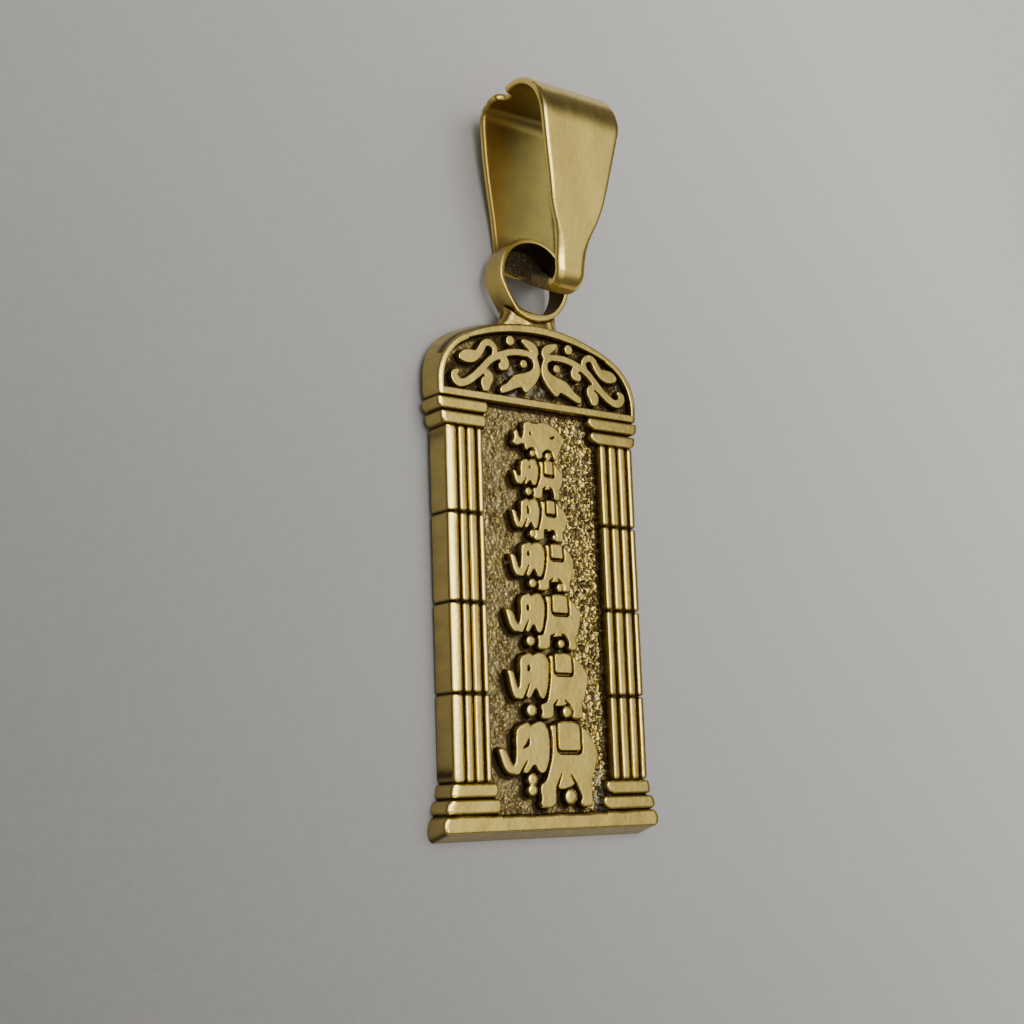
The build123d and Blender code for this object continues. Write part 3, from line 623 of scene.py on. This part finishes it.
def plaque_part(name, x, y):
    """A closed part of the plaque under a grid of plan positions in mm. Its top takes its heights and slopes
    from the worked front, its wall goes down all round to the back with the draft and a rounded lower edge,
    and a strip across for each row closes the back."""
    n, m = x.shape
    z = read(front, x, y)
    normal = unit(np.stack([-read(slope_x, x, y), -read(slope_y, x, y), np.ones_like(x)], -1))
    index = np.arange(n * m).reshape(n, m)
    ring = np.concatenate([index[0, :-1], index[:-1, -1], index[-1, :0:-1], index[:0:-1, 0]])
    count = len(ring)
    rx, ry, rz = x.ravel()[ring], y.ravel()[ring], z.ravel()[ring]
    out = unit(np.stack([-read(out_x, rx, ry), -read(out_y, rx, ry)], -1))
    at_edge = read(edge_in, rx, ry) < 0.02
    shift = back_shift(ry)
    share = np.array([0.06, 0.2, 0.45, 0.65, 0.85, 0.96, 0.99, 1.0])[:, None]
    inset = np.array([0, 0, 0, 0, 0, 0.005, 0.03, 0.07])[:, None] * at_edge
    wz = rz + (-THICK - rz) * share
    wx = rx - inset * out[:, 0]
    wy = ry + shift * share - inset * out[:, 1]
    points = np.concatenate([np.stack(p, -1).reshape(-1, 3) for p in ((x, y, z), (wx, wy, wz))])
    lean = np.stack([out[:, 0], out[:, 1], held(out[:, 1] * shift / THICK)], -1)
    walls = np.broadcast_to(lean, (len(share), count, 3)).copy()
    walls[-1, :, 2] -= 0.9
    walls[-2, :, 2] -= 0.35
    normals = np.concatenate([normal.reshape(-1, 3), unit(walls).reshape(-1, 3)])
    normals[ring[at_edge]] = unit(unit(lean)[at_edge] + 0.15 * np.array([0, 0, 1]))
    top = np.stack([index[:-1, :-1], index[:-1, 1:], index[1:, 1:], index[1:, :-1]], -1).reshape(-1, 4)
    rings = np.vstack([ring, n * m + np.arange(len(share) * count).reshape(len(share), count)])
    turn = np.roll(rings, -1, 1)
    wall = np.stack([rings[:-1], rings[1:], turn[1:], turn[:-1]], -1).reshape(-1, 4)
    last = rings[-1]
    left = last[np.r_[0, np.arange(count - 1, count - n, -1)]]
    right = last[m - 1:m - 1 + n]
    back = np.stack([left[1:-2], left[2:-1], right[2:-1], right[1:-2]], -1)
    first_end = np.concatenate([[left[1]], [right[1]], last[m - 1::-1]])[None]
    last_end = np.concatenate([[right[-2]], [left[-2]], last[m + n - 2:2 * m + n - 2][::-1]])[None]
    faces = [top, wall, back, first_end, last_end]
    corners = np.concatenate([f.ravel() for f in faces])
    flat = sum(f.size for f in faces[:2])
    corner_normals = normals[corners]
    corner_normals[flat:] = (0, 0, -1)
    # Dark joints and stains on the outer walls, a reddish left edge on the arch, a dull foot, and one dark
    # corner at its left end
    joints = np.array([0.77, 1.43, 2.09, 5.82, 9.71, 13.62, 17.42, 18.07, 18.73])[:, None]
    joint = 1.2 * np.exp(-((ry - joints) / 0.065)**2).max(0) * (np.abs(rx) > 5)
    stain = 0.9 * np.exp(-((ry - 2.45) / 0.26)**2) + 0.5 * np.exp(-((ry - 17.1) / 0.25)**2)
    low = np.repeat(held(joint + stain * (rx < -5))[None], len(share), 0)
    low[:2] = np.maximum(low[:2], 0.85 * (ry > 20.6) * (rx < -0.4))
    corner = 0.9 * spot(rx + 5.72, ry - 0.05, 0.13, 0.12)
    low = low + 0.12 * (ry < 0.02) + corner
    fields = {}
    for key, field, outside in (("oxide_and_shade", oxide_and_shade, low), ("sunk_and_shaded", sunk_and_shaded, 0 * low), ("grime", grime, 0 * low)):
        fields[key] = np.concatenate([read(field, x, y).ravel(), outside.ravel()])
    fields["wall"] = np.arange(x.size + low.size) >= x.size
    place = lay(points[:, 0], points[:, 1], points[:, 2])
    make_piece(name, place, faces, turned(corner_normals), fields, plaque_finish, "plaque_gold")


# Panel and columns meet at the two seams, and the grid is finer where the columns' outer edges turn down
SEAM_LEFT, SEAM_RIGHT = -3.15, 2.62
rise = np.linspace(PLINTH_TOP, BAR_FOOT, 600)
half = np.interp(rise, edge_rows[:, 0], edge_rows[:, 1])
middle = np.linspace(SEAM_LEFT, SEAM_RIGHT, 190)
wing = np.linspace(0, 1, 90)
wing = wing + 0.1 * np.sin(math.pi * wing) * wing
for name, rows in (("panel_low", slice(0, 300)), ("panel_high", slice(299, 600))):
    plaque_part(name, *np.meshgrid(middle, rise[rows]))
for name, seam, reach in (("column_left", SEAM_LEFT, wing[::-1]), ("column_right", SEAM_RIGHT, wing)):
    gx = seam + (np.sign(seam) * half[:, None] - seam) * reach
    plaque_part(name, gx, np.repeat(rise[:, None], len(wing), 1))


# The plinth and the arch, cast in one with the rest. The plinth is a plain bar whose ends are worn round;
# the arch closes the portico above the capitals with a smooth band round its scrolls.
floor_rows = np.concatenate([np.linspace(0, 0.12, 7), np.linspace(0.16, PLINTH_TOP, 20)])
bar = np.linspace(-1, 1, 380)
bar = bar * (1 + 0.1 * (1 - bar**2))
half = np.interp(floor_rows, edge_rows[:, 0], edge_rows[:, 1])
plaque_part("plinth", half[:, None] * bar, np.repeat(floor_rows[:, None], len(bar), 1))


def arch_grid(columns, rows):
    """Straight lines from points spread along the arch's foot to points spread along its outline, the
    outline taken by length: up the side, round the haunch, over the crown and down again."""
    half, crown, springing, haunch, top = ARCH
    cx, cy = half - haunch, crown - top
    meet = math.atan2(springing - cy, cx)
    side = np.linspace(0, 1, 40)[:-1, None] * (0, springing - SIDE_TOP) + (half, SIDE_TOP)
    turn = np.linspace(0, meet, 160)[:-1]
    round_side = np.stack([cx + haunch * np.cos(turn), springing + haunch * np.sin(turn)], -1)
    turn = np.linspace(meet, math.pi / 2, 200)
    over = np.stack([top * np.cos(turn), cy + top * np.sin(turn)], -1)
    right = np.vstack([side, round_side, over])
    line = np.vstack([right * (-1, 1), right[-2::-1]])
    length = np.r_[0, np.cumsum(np.hypot(*np.diff(line, axis=0).T))]
    s = np.linspace(0, 1, columns)
    ax, ay = (np.interp(s * length[-1], length, line[:, k]) for k in (0, 1))
    spread = 2 * s - 1
    spread = spread * (1 + 0.1 * (1 - np.abs(spread)))
    t = np.linspace(0, 1, rows)[:, None]
    t = t + 0.12 * t * (1 - t)
    bx = 5.5 * spread  # along the foot, whose ends lie at the nick above the capitals
    return bx + (ax - bx) * t, BAR_FOOT + (ay - BAR_FOOT) * t


plaque_part("arch", *arch_grid(420, 140))


# The ring, a short length of flat gold strip bent round and soldered upright on the crown. Its band is nearly
# as deep as the plaque. The solder is a rough lump between the two.
RING_X, RING_Y, RING_R, RING_BAND = -0.12, 24.886, 2.0, 0.27  # centre, outer radius, thickness
SOLDER_HALF = 1.44  # half its length across


def ring_gold():
    """Buffed gold strip: bright at its narrow faces, olive round its broad outer side, with brown tarnish low
    down, and painted dark brown inside as shade."""
    f = Finish(bpy.data.materials.new("ring gold"))
    inner, outer, low = (f.field(name) for name in ("inner", "outer", "low"))
    cloud = f.noise(0.8, 4)
    fine = f.noise(0.14, 3, 0.6)
    scuff = f.noise(0.25, 4, 0.6)
    colour = f.blend((outer * (0.35 + 0.8 * cloud)).held(), GOLD, (0.43, 0.33, 0.1))
    colour = f.blend((low * (0.3 + 0.9 * fine)).held(), colour, (0.17, 0.1, 0.04))
    # Painted shade: the inside of the band darkened to dark brown
    colour = f.blend((inner * (0.7 + 0.5 * cloud)).held(), colour, (0.115, 0.075, 0.032))
    rough = 0.22 + 0.12 * scuff + inner * 0.2 + low * 0.15
    height = f.bump(scuff, 0.2, 0.00002)
    height = f.bump(fine, low * 0.4 + 0.01, 0.00004, height)
    return f.close(Base_Color=colour, Roughness=rough, Metallic=(1.0 - inner * 0.2).held(), Normal=height)


ring_finish = ring_gold()


def squared(wave, power):
    """A sine or cosine filled out towards a square wave by a power under 1."""
    return np.sign(wave) * np.abs(wave)**power


def soldered_ring():
    """Turned about the ring's own axis: at each angle a flat band with round edges, its outline a little out
    of round by two slow waves. Its foot is thicker where it sits on the crown, and low on the left it is
    pressed flat: there the radius follows most of the way to a straight line across the circle."""
    angle = np.linspace(0, 2 * math.pi, 240, endpoint=False)[:, None]
    foot = held(1 - np.abs(angle - 1.5 * math.pi) / 0.75)
    foot = foot * foot * (3 - 2 * foot)
    spread = math.radians(25)
    from_flat = np.clip(angle - math.radians(212), -spread, spread)
    pressed = 1 - 0.7 * held(1 - 0.906 / np.cos(from_flat))
    reach = (RING_R - 0.012 + 0.012 * np.sin(3 * angle + 1)) * pressed
    hole = (RING_R - RING_BAND + 0.012 * np.sin(5 * angle + 2) - 0.11 * foot) * pressed
    q = np.arange(44) / 44 * 2 * math.pi
    u = squared(np.cos(q), 0.32)
    v = squared(np.sin(q), 0.18)
    radial = (reach + hole) / 2 + (reach - hole) / 2 * u
    deep = -THICK / 2 + (THICK / 2 - 0.04) * v * np.ones_like(angle)
    x = RING_X + radial * np.cos(angle)
    y = RING_Y + radial * np.sin(angle)
    # Where the band's inside is painted dark as shade
    inner = held(-u * 4 - 2.6) * np.ones_like(angle)
    outer = held(u * 6 - 4.9) * np.ones_like(angle)
    low = np.exp(-((angle - 3.95) / 0.42)**2) * held(u * 3 + 0.5) * held(1.6 - 2 * v)
    return x, y, deep, inner, outer, low


def solder():
    """Sections along x from below the crown's edge to inside the ring's band: each one a box with round edges
    that closes to nothing at both ends, its front and its left end roughened by random grain. Low down it
    flows out sideways, more to the left."""
    x = RING_X + np.linspace(-SOLDER_HALF, SOLDER_HALF, 110)[:, None]
    q = np.linspace(0, 2 * math.pi, 96, endpoint=False)[None]
    close = np.sqrt(1 - np.clip(np.abs(x - RING_X) / SOLDER_HALF, 0, 0.9999)**7)
    foot = ARCH[1] - x**2 / (2 * ARCH[4]) - 0.14
    head = RING_Y - np.sqrt((RING_R - 0.05)**2 - (x - RING_X)**2)
    up = squared(np.sin(q), 0.45)
    y = (foot + head) / 2 + (head - foot) / 2 * up
    facing = squared(np.cos(q), 0.5)
    rough = read(grain(41, 0.16), x + 0 * y, y - 2)
    z = -0.71 + (0.51 + 0.03 * rough * held(facing)) * facing * close
    flow = (0.5 - 0.5 * up)**1.4
    x = x - (0.34 * flow + 0.04 * rough) * held((-0.7 - x) / 0.8)
    x = x + 0.16 * flow * held((x - 0.6) / 0.7)
    return x, y, z


def tube_faces(n, m):
    """Quads over a grid that closes on itself both ways."""
    i, j = np.meshgrid(np.arange(n), np.arange(m), indexing="ij")
    a, b = i * m + j, i * m + (j + 1) % m
    c, d = (i + 1) % n * m + (j + 1) % m, (i + 1) % n * m + j
    return np.stack([a, b, c, d], -1).reshape(-1, 4)


x, y, z, inner, outer, low = soldered_ring()
make_piece(
    "ring", lay(x, y, z).reshape(-1, 3), [tube_faces(*x.shape)[:, ::-1]], None,
    {"inner": inner, "outer": outer, "low": low}, ring_finish, "plaque_gold",
)
# Tarnish on the solder: in the crack along the ring, and over its left end
x, y, z = solder()
crack = np.clip(1.15 - np.abs(np.hypot(x - RING_X, y - RING_Y) - RING_R - 0.03) / 0.09, 0.25, 1)
crack = np.maximum(crack, 0.6 * held((-1.2 - x) / 0.2))
n, m = x.shape
end = np.arange(m)[None]
faces = [tube_faces(n, m)[:(n - 1) * m, ::-1], end, end[:, ::-1] + (n - 1) * m]
make_piece(
    "solder", lay(x, y, z).reshape(-1, 3), faces, None,
    {"low": crack, "outer": 0.7 * np.ones(x.size)}, ring_finish, "plaque_gold",
)


# The bail: one tapering strip of gold sheet folded over into a loop that passes through the ring. Its two
# ends lie over each other at the foot and are soldered. The rear rim of the fold is torn and dented.
SHEET, LAP = 0.34, 0.17  # thickness, and what the lapped ends add to it
# Corners of the loop's outer face as y, z, from the front of the foot up and round, and their radii
bail_corners = np.array([
    (23.2, 2.57), (24.996, 2.7), (27.996, 3.34), (33.67, 4.06), (33.376, -1.16), (25.616, -1.8556),
])
bail_rounds = (0.9, 3.0, 12.0, 2.2, 1.0, 0.55)
# Half widths of the two leaves up the bail: y, front leaf; y, rear leaf's left, rear leaf's right
front_leaf = np.array([
    (22.8, 0.6), (23.3, 0.66), (23.8, 0.7), (24.4, 0.71), (25.1, 0.75), (25.5, 0.78), (26, 0.87),
    (26.5, 1.04), (27, 1.25), (27.5, 1.41), (28, 1.51), (28.4, 1.59), (29.5, 1.8), (30.4, 1.97),
    (31.2, 2.11), (32.2, 2.19), (34, 2.22),
])
rear_leaf = np.array([
    (25.7, 1.12, 1.6), (26.4, 1.14, 2.36), (27.2, 1.25, 2.45), (28, 1.38, 2.38), (29, 1.58, 2.24),
    (30, 1.78, 2.1), (31, 1.94, 2.1), (32, 2.05, 2.14), (32.8, 2.12, 2.2), (34, 2.12, 2.2),
])


def rounded_loop(corners, radii, spacing):
    """A closed line through the corners with each one turned into an arc of its radius, as evenly spaced
    points, and at each the direction inwards, square to the line through its neighbours."""
    pieces = []
    for k, radius in enumerate(radii):
        p = corners[k]
        a, b = unit(corners[k - 1] - p), unit(corners[(k + 1) % len(corners)] - p)
        half_angle = math.acos(float(a @ b)) / 2
        centre = p + unit(a + b) * radius / math.sin(half_angle)
        reach = radius / math.tan(half_angle)
        u, v = p + a * reach - centre, p + b * reach - centre
        start = math.atan2(u[1], u[0])
        swing = (math.atan2(v[1], v[0]) - start + math.pi) % (2 * math.pi) - math.pi
        turn = start + np.linspace(0, swing, 40)
        pieces.append(centre + radius * np.stack([np.cos(turn), np.sin(turn)], -1))
    line = np.vstack([*pieces, pieces[0][:1]])
    length = np.r_[0, np.cumsum(np.hypot(*np.diff(line, axis=0).T))]
    s = np.linspace(0, length[-1], int(length[-1] / spacing), endpoint=False)
    place = np.stack([np.interp(s, length, line[:, k]) for k in (0, 1)], -1)
    tangent = unit(np.roll(place, -1, 0) - np.roll(place, 1, 0))
    return place, np.stack([tangent[:, 1], -tangent[:, 0]], -1)


def bail_gold():
    """Gold sheet, buffed soft and even outside and bright at its cut edges, with a band of painted shade across
    the top of the fold; inside the loop it is painted darker as shade, partly with dirt, and painted amber to
    the left and olive to the right as reflected light, with brown dirt packed into the foot."""
    f = Finish(bpy.data.materials.new("bail gold"))
    inner, dirt, right, fold_shade = (f.field(name) for name in ("inner", "dirt", "right", "fold_shade"))
    cloud = f.noise(1.5, 4)
    fine = f.noise(0.14, 3, 0.65)
    scuff = f.noise(0.5, 4, 0.6, stretch=(1, 5, 1))
    colour = f.blend((cloud - 0.35).held(), GOLD, (0.78, 0.59, 0.16))
    # Painted shade: a darker brown band across the top of the fold
    colour = f.blend((fold_shade * (0.5 + 0.6 * cloud)).held(), colour, (0.36, 0.275, 0.095))
    # Inside the loop: painted shade with some dirt, and painted reflected light, amber to the left and olive to
    # the right
    stain = f.blend(right, (0.44, 0.27, 0.06), (0.33, 0.275, 0.085))
    colour = f.blend((inner * (0.62 + 0.5 * cloud)).held(), colour, stain)
    grime = (dirt * (0.35 + 1.2 * fine)).held()
    colour = f.blend(grime, colour, (0.075, 0.047, 0.024))
    speck = ((f.noise(0.17, 2) - 0.58) * 9.0 * dirt).held()
    colour = f.blend(speck * 0.6, colour, (0.34, 0.3, 0.24))
    rough = 0.2 + 0.14 * scuff + inner * 0.12 + grime * 0.3
    height = f.bump(cloud, 0.25, 0.0001)
    height = f.bump(scuff, 0.2, 0.00002, height)
    height = f.bump(fine, dirt * 0.9 + 0.02, 0.00006, height)
    return f.close(Base_Color=colour, Roughness=rough, Metallic=(1.0 - 0.6 * grime).held(), Normal=height)


def folded_strip():
    """A flat section with round edges carried along the loop. The depth goes inwards from the outer face by
    the sheet's thickness, more where the ends lap; it is bevelled towards the edges by a curve that steepens
    outwards, dished a little by the product of two slow waves, and notched where it is torn."""
    line, inward = rounded_loop(bail_corners, bail_rounds, 0.05)
    py, pz = line[:, :1], line[:, 1:]
    front = np.interp(py, front_leaf[:, 0], front_leaf[:, 1])
    # The rear leaf is as narrow as the foot under the ring and takes its own width once it is through
    through = np.where(py > 28, 1, held((-0.4 - pz) / 0.9))
    widths = []
    for k in (1, 2):
        wider = front + 0.15 * (k - 1) * held((33.0 - py) / 1.5)
        rear = 0.71 + (np.interp(py, rear_leaf[:, 0], rear_leaf[:, k]) - 0.71) * through
        fold = np.where(py > 32.8, held((pz + 0.5) / 2.0) * (2.22 - rear), 0)
        widths.append(np.where((pz > 0.5) & (py < 32.8), wider, rear + fold))
    left, right = widths
    # The torn notch in the left edge of the fold, a bulge beside it, and a ragged line along both
    top = held((py - 32.6) / 0.5)
    left = left - top * (0.46 * np.exp(-((pz - 0.62) / 0.32)**6) - 0.05 * np.exp(-((pz + 0.05) / 0.35)**2))
    left = left - top * 0.05 * np.abs(np.sin(7 * pz) * np.sin(17 * pz + 1)) * (pz < 1.4)
    lap = LAP * held((2.0 - np.hypot(py - 24.5, pz - 0.35)) / 0.2) * (py < 25.9)
    thick = SHEET + lap
    # The section, once round it from the outer face's right end: a is the way across from -1 to 1, b and e are
    # the way sideways and inwards round its edges in edge radii, and c goes from 0 outside to 1 inside
    edge = 0.08
    flat, turn, side = np.linspace(1, -1, 41), np.linspace(0, math.pi / 2, 5), np.linspace(0, 1, 6)
    sine, cosine, six = np.sin(turn), np.cos(turn), np.ones(6)
    a = np.concatenate([flat, -np.ones(16), -flat, np.ones(16)])
    b = np.concatenate([0 * flat, -sine, -six, -cosine, 0 * flat, sine, six, cosine])
    c = np.concatenate([0 * flat, 0 * turn, side, np.ones(51), side[::-1], 0 * turn])
    e = np.concatenate([0 * flat, 1 - cosine, six, 1 + sine, 0 * flat + 2, 1 + cosine, six, 1 - sine])
    moved = np.abs(np.diff(np.stack([a, b, c, e]), axis=1)).sum(0) > 1e-6
    keep = np.r_[True, moved]
    keep[-1] = False
    a, b, c, e = (q[keep][None] for q in (a, b, c, e))
    x = a * (np.where(a > 0, right, left) - edge) + b * edge
    to_edge = np.where(x > 0, right - x, left + x)
    foot = held((26.6 - py) / 1.2) * (pz > 1.2)
    bevel = 0.15 + 0.21 * foot
    near = held(1 - to_edge / bevel)
    slope = (0.52 - 0.12 * foot) * bevel * near * near * (1.5 - 0.5 * near)
    depth = c * (thick - 2 * edge) + e * edge + slope * (1 - c) - slope * c * (1 - foot)
    u = x / 2.2
    hammered = held(1 - u * u) * held((py - 26) / 1.5)
    hammer = 0.014 * (1 + np.sin(1.3 * py + 1.9 * u) * np.cos(2.3 * u - 0.6 * py)) * hammered
    depth = depth + hammer * (1 - c)
    y = py + inward[:, :1] * depth
    z = pz + inward[:, 1:] * depth
    # The inner face, which is painted darker as shade and reflected light
    inner = c * (np.abs(b) < 0.5) + 0 * x
    # Dirt inside the foot, on the torn edge and under the foot
    dirt = held(2 * c + 0 * x) * held(2.6 - np.hypot(y - 24.9, z + 0.9) / 0.95)
    dirt = dirt * (pz < 1.9)
    torn = held((y - 31.9) / 0.6) * held((0.2 - pz) / 0.4) * (np.abs(b) > 0.3) * (x < 0)
    under = held((25.0 - y) / 0.3) * held((2.1 - pz) / 0.4)
    dirt = np.max([dirt, 0.55 * torn, 0.85 * under + 0 * x], 0)
    # Painted shade across the top of the fold, on its outer face
    fold_shade = np.exp(-((y - 31.62 + 0.12 * u) / 0.42)**2) * (pz > 1.5) * (1 - c) + 0 * x
    right = held((x + 1.0 + 0.1 * np.sin(3 * y)) / 0.9)
    return x + RING_X, y, z, {"inner": inner, "dirt": dirt, "right": right, "fold_shade": fold_shade}


x, y, z, fields = folded_strip()
make_piece(
    "bail_strip", lay(x, y, z).reshape(-1, 3), [tube_faces(*x.shape)], None, fields, bail_gold(), "bail_gold"
)


# The sheet of pale paper that the pendant lies on, its colour painted brighter to the right and away from the
# camera as painted light; a broad soft lamp hangs overhead, and a plain ceiling lights the rest.
def paper():
    """Matt white paper with fine fibres. Its colour rises evenly across it from 0.24 to 0.68, and is level
    beyond: painted light, brighter to the right and away from the camera."""
    f = Finish(bpy.data.materials.new("paper"))
    cloud = f.noise(30, 3)
    fibre = f.noise(0.5, 3, 0.6)
    across, along = (f.add("ShaderNodeSeparateXYZ", Vector=f.place, out=k) for k in (0, 1))
    rise = ((across * 5.4 + along * 3.9 + 0.21) / 0.44).held()
    # Painted light: the colour brightens to the right and away from the camera
    painted_light = 0.24 + 0.44 * rise + (cloud + fibre - 1.0) * 0.05
    colour = f.blend(painted_light.held(), (0, 0, 0), (1.0, 0.985, 0.955))
    height = f.bump(fibre, 0.15, 0.0001)
    return f.close(Base_Color=colour, Roughness=0.9, Normal=height, Specular_IOR_Level=0.2)


mesh = bpy.data.meshes.new("floor")
mesh.from_pydata([(-0.4, -0.4, 0), (0.4, -0.4, 0), (0.4, 0.4, 0), (-0.4, 0.4, 0)], [], [(0, 1, 2, 3)])
mesh.materials.append(paper())
floor = put("floor", mesh)


# The lamp, half a metre off and turned to the pendant
lamp_data = bpy.data.lights.new("ceiling_lamp", "AREA")
lamp_data.shape, lamp_data.size, lamp_data.size_y = "RECTANGLE", 0.36, 0.26
lamp_data.energy, lamp_data.color = 1.45, (1.0, 0.98, 0.95)
lamp = put("ceiling_lamp", lamp_data)
way = unit(np.array([-0.05, 0.19, 0.98]))
lamp.location = way * 0.5
lamp.rotation_euler = Vector(way).to_track_quat("Z", "Y").to_euler()

# The room, dim at its sides and brightening smoothly towards straight above
room = Finish(bpy.data.worlds.new("room"), "Generated")
bpy.context.scene.world = room.owner
height = ((room.add("ShaderNodeSeparateXYZ", out="Z", Vector=room.place) - 0.55) / 0.4).held()
glow = 0.12 + height * height * (3.0 - 2.0 * height)
light = room.add("ShaderNodeBackground", Color=(1.0, 0.985, 0.96, 1), Strength=glow)
room.add("ShaderNodeOutputWorld", Surface=light)

# The camera looks down on the pendant from its left side, through a lens of 54 mm on a 36 mm frame. Its axes
# (right, up, back) and its place are given in the plaque's own frame, the place in millimetres.
PHOTO_WIDTH, FOCAL_LENGTH, SENSOR = 1024, 1550, 36  # the first two in pixels, the last in millimetres
CAMERA_AXES = ((0.80511, -0.03243, 0.59224), (-0.08405, 0.98219, 0.16805), (-0.58714, -0.18508, 0.78804))
CAMERA_PLACE = (-42.0402, 1.1656, 53.8498)
camera = put("camera", bpy.data.cameras.new("camera"))
camera.data.sensor_fit, camera.data.sensor_width = "HORIZONTAL", SENSOR
camera.data.lens = SENSOR * FOCAL_LENGTH / PHOTO_WIDTH
camera.data.clip_start, camera.data.clip_end = 0.001, 5
axes, lengths = np.linalg.qr(turned(np.array(CAMERA_AXES)).T)
frame_of_camera = np.eye(4)
frame_of_camera[:3, :3] = axes * np.sign(np.diag(lengths))
frame_of_camera[:3, 3] = lay(*np.array(CAMERA_PLACE))
camera.matrix_world = Matrix(frame_of_camera.tolist())
bpy.context.scene.camera = camera
